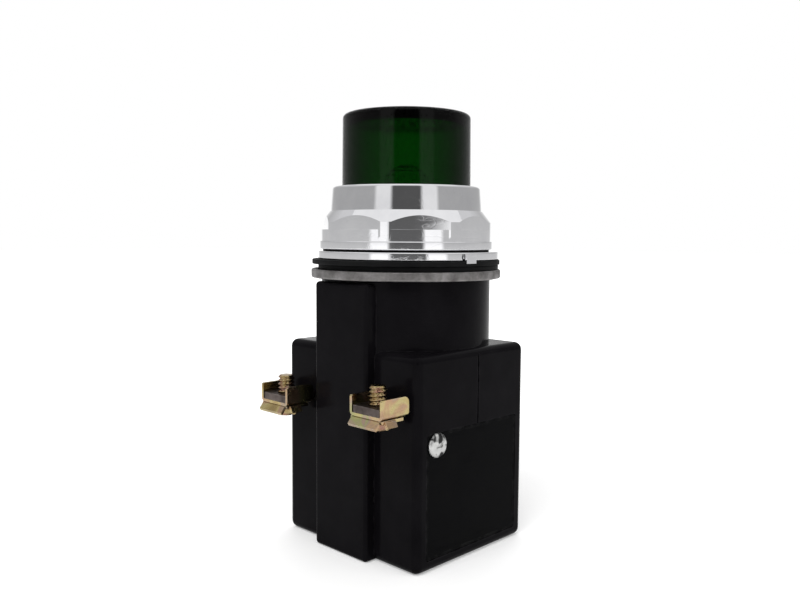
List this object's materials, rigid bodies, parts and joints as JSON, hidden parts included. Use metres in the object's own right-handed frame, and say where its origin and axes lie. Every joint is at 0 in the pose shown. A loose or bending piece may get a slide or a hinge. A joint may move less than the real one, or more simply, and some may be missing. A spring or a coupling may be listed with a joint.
{
  "type": "panel pilot light",
  "caption": "Heavy-duty panel pilot light: green screw-on lens, chromed retaining nut, gaskets, and a box body with a lamp transformer and screw wire terminals.",
  "frame": {"origin": "on the axis of the lens, at the flat rear face of the body", "axes": "+Z towards the lens, -Y towards the side with the wire terminals, +X towards the side with the bare rating plate"},
  "size_m": [0.041, 0.0463, 0.0905],
  "materials": {
    "phenolic": "glossy moulded phenolic",
    "cover_plastic": "matt moulded cover",
    "zinc_screw": "bright zinc plate",
    "blank_plate": "plain black, left bare",
    "bright_rivet": "bright, a little scuffed",
    "zinc_casting": "plain die-cast zinc",
    "dull_zinc": "dull zinc plate",
    "rubber": "matt black rubber",
    "chrome": "bright chrome",
    "green_lens": "deep green transparent",
    "brown_phenolic": "brown laminated phenolic",
    "socket_brass": "plain brass",
    "spring_steel": "drawn wire",
    "clear_glass": "clear glass",
    "lamp_wire": "drawn wire and glass bead",
    "core_steel": "stacked silicon-steel laminations",
    "bobbin_nylon": "moulded nylon",
    "enamel_copper": "enamelled fine wire",
    "enamel_copper_light": "enamelled thick wire",
    "lead_black": "insulated wire",
    "lead_red": "insulated wire",
    "lead_white": "insulated wire",
    "dark_steel": "dark oiled steel",
    "yellow_zinc": "iridescent yellow zinc chromate",
    "brassy_screw": "yellow zinc chromate, dulled"
  },
  "bodies": {
    "base": {"housing": "phenolic", "rear_cover": "cover_plastic", "cover_screw_right": "zinc_screw", "cover_screw_left": "zinc_screw", "rating_plate": "blank_plate", "plate_rivet": "bright_rivet", "bushing": "zinc_casting", "mounting_washer": "dull_zinc", "lower_gasket": "rubber", "upper_gasket": "rubber", "trim_ring": "chrome", "socket_base": "brown_phenolic", "socket_shell": "socket_brass", "contact_insulator": "brown_phenolic", "centre_contact": "socket_brass", "contact_spring": "spring_steel", "lamp_base": "socket_brass", "lamp_glass": "clear_glass", "lamp_filament": "lamp_wire", "core_e": "core_steel", "core_i": "core_steel", "bobbin": "bobbin_nylon", "primary_winding": "enamel_copper", "secondary_winding": "enamel_copper_light", "primary_lead_right": "lead_black", "primary_lead_left": "lead_black", "secondary_lead_shell": "lead_red", "secondary_lead_centre": "lead_white", "terminal_plate_right": "dark_steel", "terminal_plate_left": "dark_steel"},
    "nut_travel": {"nut_gasket": "rubber"},
    "nut": {"retaining_nut": "chrome"},
    "lens_travel": {"lens_gasket": "rubber"},
    "lens": {"lens": "green_lens"},
    "clamp_right": {"wire_clamp_right": "yellow_zinc", "clamp_plate_right": "yellow_zinc"},
    "screw_right": {"terminal_screw_right": "brassy_screw"},
    "clamp_left": {"wire_clamp_left": "yellow_zinc", "clamp_plate_left": "yellow_zinc"},
    "screw_left": {"terminal_screw_left": "brassy_screw"}
  },
  "joints": [
    {"name": "nut_turn", "type": "hinge", "parent": "nut_travel", "child": "nut", "pos_m": [0, 0, 0.065], "axis": [0, 0, 1], "range_deg": [0, 1620]},
    {"name": "nut_rise", "type": "slide", "parent": "base", "child": "nut_travel", "axis": [0, 0, 1], "range_m": [0, 0.00634]},
    {"name": "lens_turn", "type": "hinge", "parent": "lens_travel", "child": "lens", "pos_m": [0, 0, 0.08], "axis": [0, 0, 1], "range_deg": [0, 1080]},
    {"name": "lens_rise", "type": "slide", "parent": "base", "child": "lens_travel", "axis": [0, 0, 1], "range_m": [0, 0.0045]},
    {"name": "screw_right_turn", "type": "hinge", "parent": "clamp_right", "child": "screw_right", "pos_m": [0.014, -0.0216, 0.03], "axis": [0, 0, -1], "range_deg": [0, 1440]},
    {"name": "clamp_right_open", "type": "slide", "parent": "base", "child": "clamp_right", "axis": [0, 0, -1], "range_m": [0, 0.00316]},
    {"name": "screw_left_turn", "type": "hinge", "parent": "clamp_left", "child": "screw_left", "pos_m": [-0.014, -0.0216, 0.03], "axis": [0, 0, -1], "range_deg": [0, 1440]},
    {"name": "clamp_left_open", "type": "slide", "parent": "base", "child": "clamp_left", "axis": [0, 0, -1], "range_m": [0, 0.00316]}
  ],
  "couplings": [
    {"joint": "nut_rise", "follows": "nut_turn", "m_per_rad": 0.00022441},
    {"joint": "lens_rise", "follows": "lens_turn", "m_per_rad": 0.00023873},
    {"joint": "screw_right_turn", "follows": "clamp_right_open", "rad_per_m": 7953.4},
    {"joint": "screw_left_turn", "follows": "clamp_left_open", "rad_per_m": 7953.4}
  ]
}
